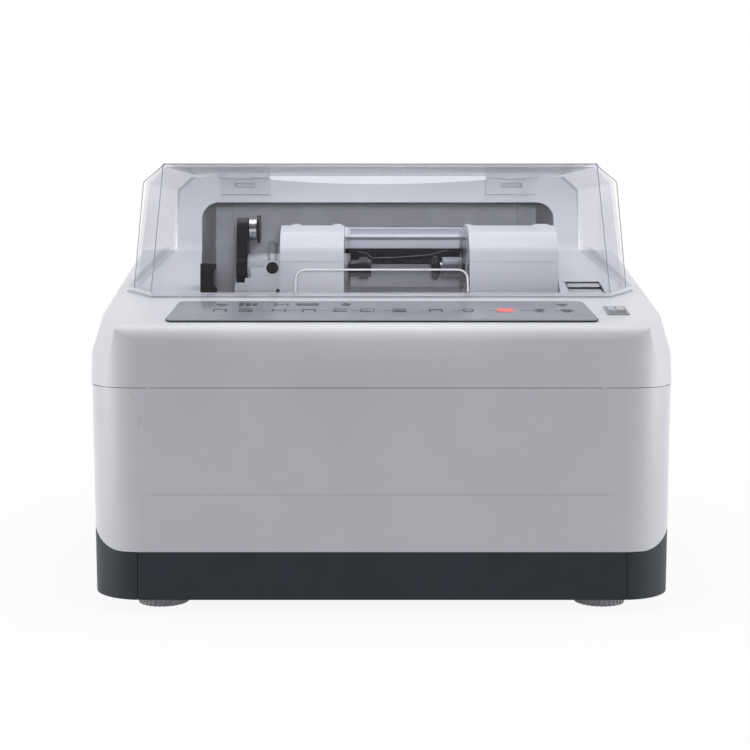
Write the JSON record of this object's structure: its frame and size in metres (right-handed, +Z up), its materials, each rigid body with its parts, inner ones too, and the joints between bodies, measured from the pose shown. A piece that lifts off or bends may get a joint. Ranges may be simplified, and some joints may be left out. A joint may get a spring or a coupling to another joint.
{
  "type": "optical lens edger",
  "caption": "Bench machine that grinds spectacle lenses to shape, with a clear lid over a wet chamber, a tilting lens head and diamond wheels.",
  "frame": {"origin": "on the bench, under the middle of the case's bounding box", "axes": "+Z up, -Y towards the operator (front), +X to the operator's right"},
  "size_m": [0.52, 0.46, 0.398],
  "materials": {
    "white_housing": "moulded gloss ABS",
    "slate_cover": "moulded dark slate, fine grain",
    "base_steel": "powder coated sheet steel",
    "foot_rubber": "light grey moulded rubber",
    "membrane": "glossy printed membrane",
    "circuit_board": "green lacquered laminate",
    "switch_body": "moulded grey nylon",
    "switch_paddle": "moulded light grey",
    "stainless": "brushed stainless steel",
    "tub_grey": "moulded light grey polypropylene",
    "clear_acrylic": "clear polished acrylic",
    "zinc_plate": "zinc plated steel",
    "cast_aluminium": "sand cast and machined",
    "ground_steel": "ground hardened steel",
    "blackened_steel": "chemically blackened steel",
    "diamond_grit": "sintered bronze bonded diamond grit",
    "belt_rubber": "black toothed belt rubber",
    "motor_enamel": "dark enamel",
    "transformer_core": "varnished laminations and windings",
    "black_plastic": "moulded black nylon",
    "pad_rubber": "black rubber facing",
    "hinge_plastic": "pale moulded polycarbonate",
    "head_enamel": "light grey enamel on the casting",
    "bright_aluminium": "turned aluminium"
  },
  "bodies": {
    "chassis": {"base_pan": "base_steel", "foot_front_left": "foot_rubber", "foot_front_right": "foot_rubber", "foot_rear_left": "foot_rubber", "foot_rear_right": "foot_rubber", "front_skirt": "slate_cover", "front_cover": "white_housing", "rear_panel": "base_steel", "upper_housing": "white_housing", "wet_tub": "tub_grey", "drain_pipe": "tub_grey", "control_panel": "membrane", "control_board": "circuit_board", "switch_frame": "switch_body", "deck_tray": "stainless", "side_cover_left": "slate_cover", "side_cover_right": "slate_cover", "side_plate_left": "zinc_plate", "side_plate_right": "zinc_plate", "hinge_bracket_left": "hinge_plastic", "hinge_bracket_right": "hinge_plastic", "guide_block_left": "cast_aluminium", "guide_block_right": "cast_aluminium", "spindle_housing": "cast_aluminium", "drive_motor": "motor_enamel", "drive_belt": "belt_rubber", "transformer": "transformer_core", "guide_shaft": "ground_steel", "guide_rail": "ground_steel", "stop_block": "belt_rubber", "water_nozzle": "stainless", "power_inlet": "black_plastic", "water_inlet": "black_plastic"},
    "lid": {"lid_shell": "clear_acrylic", "lid_hinge_left": "hinge_plastic", "lid_hinge_right": "hinge_plastic"},
    "rocker": {"switch_rocker": "switch_paddle"},
    "carriage": {"carriage_sleeve": "ground_steel"},
    "head": {"head_casting": "head_enamel", "head_shell_left": "white_housing", "head_shell_right": "white_housing", "head_cap": "white_housing", "splash_apron": "clear_acrylic", "rear_shield": "clear_acrylic", "template_case": "black_plastic", "valve_body": "white_housing", "valve_tube": "clear_acrylic"},
    "visor": {"lens_hood": "clear_acrylic"},
    "left_shaft": {"left_lens_shaft": "blackened_steel"},
    "clamp": {"clamp_sleeve": "cast_aluminium"},
    "right_shaft": {"right_lens_shaft": "ground_steel", "pressure_pad": "pad_rubber"},
    "template": {"template_shaft": "black_plastic", "template_disc": "bright_aluminium"},
    "knob": {"valve_knob": "black_plastic"},
    "wheels": {"wheel_spindle": "ground_steel", "bevel_wheel": "diamond_grit", "roughing_wheel": "diamond_grit", "wheel_nut": "stainless"},
    "motor": {"motor_rotor": "ground_steel"}
  },
  "joints": [
    {"name": "lid_hinge", "type": "hinge", "parent": "chassis", "child": "lid", "pos_m": [0, 0.019, 0.391], "axis": [-1, 0, 0], "range_deg": [0, 75]},
    {"name": "switch_rock", "type": "hinge", "parent": "chassis", "child": "rocker", "pos_m": [0.211, -0.185, 0.26006], "axis": [1, 0, 0], "range_deg": [0, 16]},
    {"name": "carriage_slide", "type": "slide", "parent": "chassis", "child": "carriage", "axis": [1, 0, 0], "range_m": [-0.018, 0]},
    {"name": "head_tilt", "type": "hinge", "parent": "carriage", "child": "head", "pos_m": [0, 0.12, 0.245], "axis": [1, 0, 0], "range_deg": [0, 5.5]},
    {"name": "lens_hood_turn", "type": "hinge", "parent": "head", "child": "visor", "pos_m": [0, -0.065, 0.298], "axis": [-1, 0, 0], "range_deg": [0, 60]},
    {"name": "lens_spin", "type": "hinge", "parent": "head", "child": "left_shaft", "pos_m": [0, -0.065, 0.298], "axis": [1, 0, 0], "continuous": true},
    {"name": "clamp_slide", "type": "slide", "parent": "head", "child": "clamp", "axis": [1, 0, 0], "range_m": [-0.052, 0]},
    {"name": "right_lens_spin", "type": "hinge", "parent": "clamp", "child": "right_shaft", "pos_m": [0, -0.065, 0.298], "axis": [1, 0, 0], "continuous": true},
    {"name": "template_spin", "type": "hinge", "parent": "head", "child": "template", "pos_m": [0, -0.065, 0.3365], "axis": [1, 0, 0], "continuous": true},
    {"name": "valve_turn", "type": "hinge", "parent": "head", "child": "knob", "pos_m": [-0.103, -0.107, 0.2985], "axis": [0, 1, 0], "range_deg": [0, 270]},
    {"name": "wheel_spin", "type": "hinge", "parent": "chassis", "child": "wheels", "pos_m": [0, -0.065, 0.208], "axis": [1, 0, 0], "continuous": true},
    {"name": "motor_spin", "type": "hinge", "parent": "chassis", "child": "motor", "pos_m": [0, -0.065, 0.075], "axis": [1, 0, 0], "continuous": true}
  ],
  "couplings": [
    {"joint": "right_lens_spin", "follows": "lens_spin", "ratio": 1},
    {"joint": "template_spin", "follows": "lens_spin", "ratio": 1},
    {"joint": "motor_spin", "follows": "wheel_spin", "ratio": 0.6802}
  ]
}
